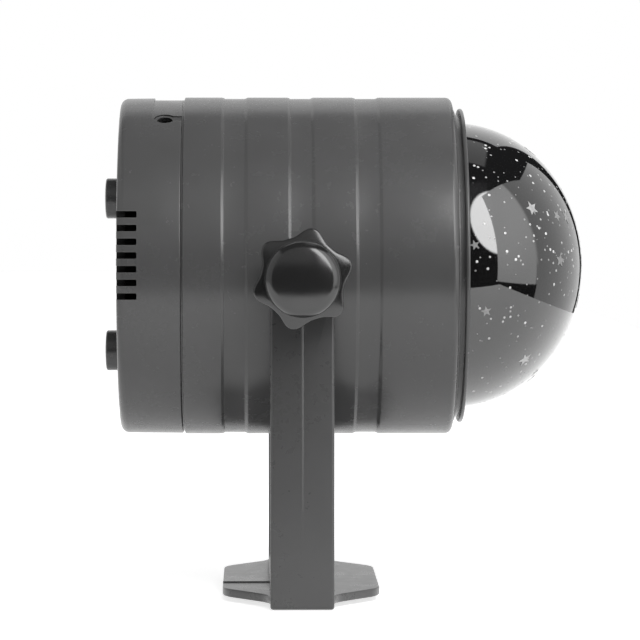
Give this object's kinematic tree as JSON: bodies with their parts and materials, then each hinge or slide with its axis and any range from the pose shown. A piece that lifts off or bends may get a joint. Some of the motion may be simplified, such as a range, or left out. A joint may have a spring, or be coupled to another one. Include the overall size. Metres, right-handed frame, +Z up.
{
  "type": "star night light projector",
  "caption": "Barrel shaped star projector with a turning smoked dome, rear push buttons and side vents, tilting between lobed clamp knobs in a forked stand.",
  "frame": {"origin": "middle of the foot's underside, straight below the tilt axis", "axes": "+X the way the dome points, +Z up, +Y along the tilt axis toward the left knob"},
  "size_m": [0.125, 0.1264, 0.1292],
  "materials": {
    "case_plastic": "satin moulded dark grey",
    "stand_plastic": "satin moulded dark grey",
    "knob_plastic": "soft gloss near black",
    "foam_pad": "matt black foam rubber",
    "friction_rubber": "matt black",
    "smoked_dome": "half mirrored smoked clear plastic with clear stars",
    "clear_plastic": "clear",
    "steel": "zinc plated",
    "black_steel": "black zinc plated",
    "brass": "turned",
    "aluminium": "satin",
    "circuit_board": "green solder mask",
    "white_board": "white solder mask",
    "electronics": "mixed small components",
    "white_plastic": "natural acetal",
    "chassis_plastic": "plain grey moulding",
    "led_yellow": "phosphor yellow",
    "wire_red": "red insulation"
  },
  "bodies": {
    "stand": {"stand": "stand_plastic", "foot_pad": "foam_pad"},
    "head": {"barrel": "case_plastic", "rear_cover": "case_plastic", "cover_screws": "black_steel", "front_bezel": "case_plastic", "pivot_inserts": "brass", "friction_pads": "friction_rubber", "control_board": "circuit_board", "board_components": "electronics", "switch_bases": "electronics", "power_socket": "steel", "board_screws": "steel", "chassis_plate": "chassis_plastic", "chassis_screws": "steel", "motor_can": "steel", "gearbox": "brass", "motor_screws": "steel", "heat_sink": "aluminium", "lamp_board": "white_board", "lamp_leds": "led_yellow", "lamp_lens": "clear_plastic", "lamp_screws": "steel", "wiring": "wire_red"},
    "dome": {"turntable": "case_plastic", "retaining_ring": "chassis_plastic", "star_dome": "smoked_dome"},
    "pinion": {"drive_pinion": "white_plastic", "output_shaft": "steel"},
    "washer_right": {"washer_right": "steel"},
    "knob_right": {"knob_right": "knob_plastic", "stud_right": "steel"},
    "washer_left": {"washer_left": "steel"},
    "knob_left": {"knob_left": "knob_plastic", "stud_left": "steel"},
    "upper_button": {"upper_button": "case_plastic", "upper_plunger": "white_plastic"},
    "lower_button": {"lower_button": "case_plastic", "lower_plunger": "white_plastic"}
  },
  "joints": [
    {"name": "head_tilt", "type": "hinge", "parent": "stand", "child": "head", "pos_m": [0, 0, 0.0829], "axis": [0, 1, 0], "continuous": true},
    {"name": "dome_spin", "type": "hinge", "parent": "head", "child": "dome", "pos_m": [0.0413, 0, 0.0852], "axis": [1, 0, 0], "continuous": true},
    {"name": "pinion_spin", "type": "hinge", "parent": "head", "child": "pinion", "pos_m": [0.0376, 0, 0.0582], "axis": [1, 0, 0], "continuous": true},
    {"name": "knob_right_travel", "type": "slide", "parent": "head", "child": "washer_right", "axis": [0, -1, 0], "range_m": [0, 0.0016]},
    {"name": "knob_right_turn", "type": "hinge", "parent": "washer_right", "child": "knob_right", "pos_m": [0, -0.0515, 0.0829], "axis": [0, -1, 0], "range_deg": [0, 721]},
    {"name": "knob_left_travel", "type": "slide", "parent": "head", "child": "washer_left", "axis": [0, 1, 0], "range_m": [0, 0.0016]},
    {"name": "knob_left_turn", "type": "hinge", "parent": "washer_left", "child": "knob_left", "pos_m": [0, 0.0515, 0.0829], "axis": [0, 1, 0], "range_deg": [0, 721]},
    {"name": "upper_button_press", "type": "slide", "parent": "head", "child": "upper_button", "axis": [1, 0, 0], "range_m": [0, 0.001], "stiffness_N_per_m": 900, "springref_m": -0.0009},
    {"name": "lower_button_press", "type": "slide", "parent": "head", "child": "lower_button", "axis": [1, 0, 0], "range_m": [0, 0.001], "stiffness_N_per_m": 900, "springref_m": -0.0009}
  ],
  "couplings": [
    {"joint": "pinion_spin", "follows": "dome_spin", "ratio": 5.2857},
    {"joint": "knob_right_turn", "follows": "knob_right_travel", "rad_per_m": 7854},
    {"joint": "knob_left_turn", "follows": "knob_left_travel", "rad_per_m": 7854}
  ]
}
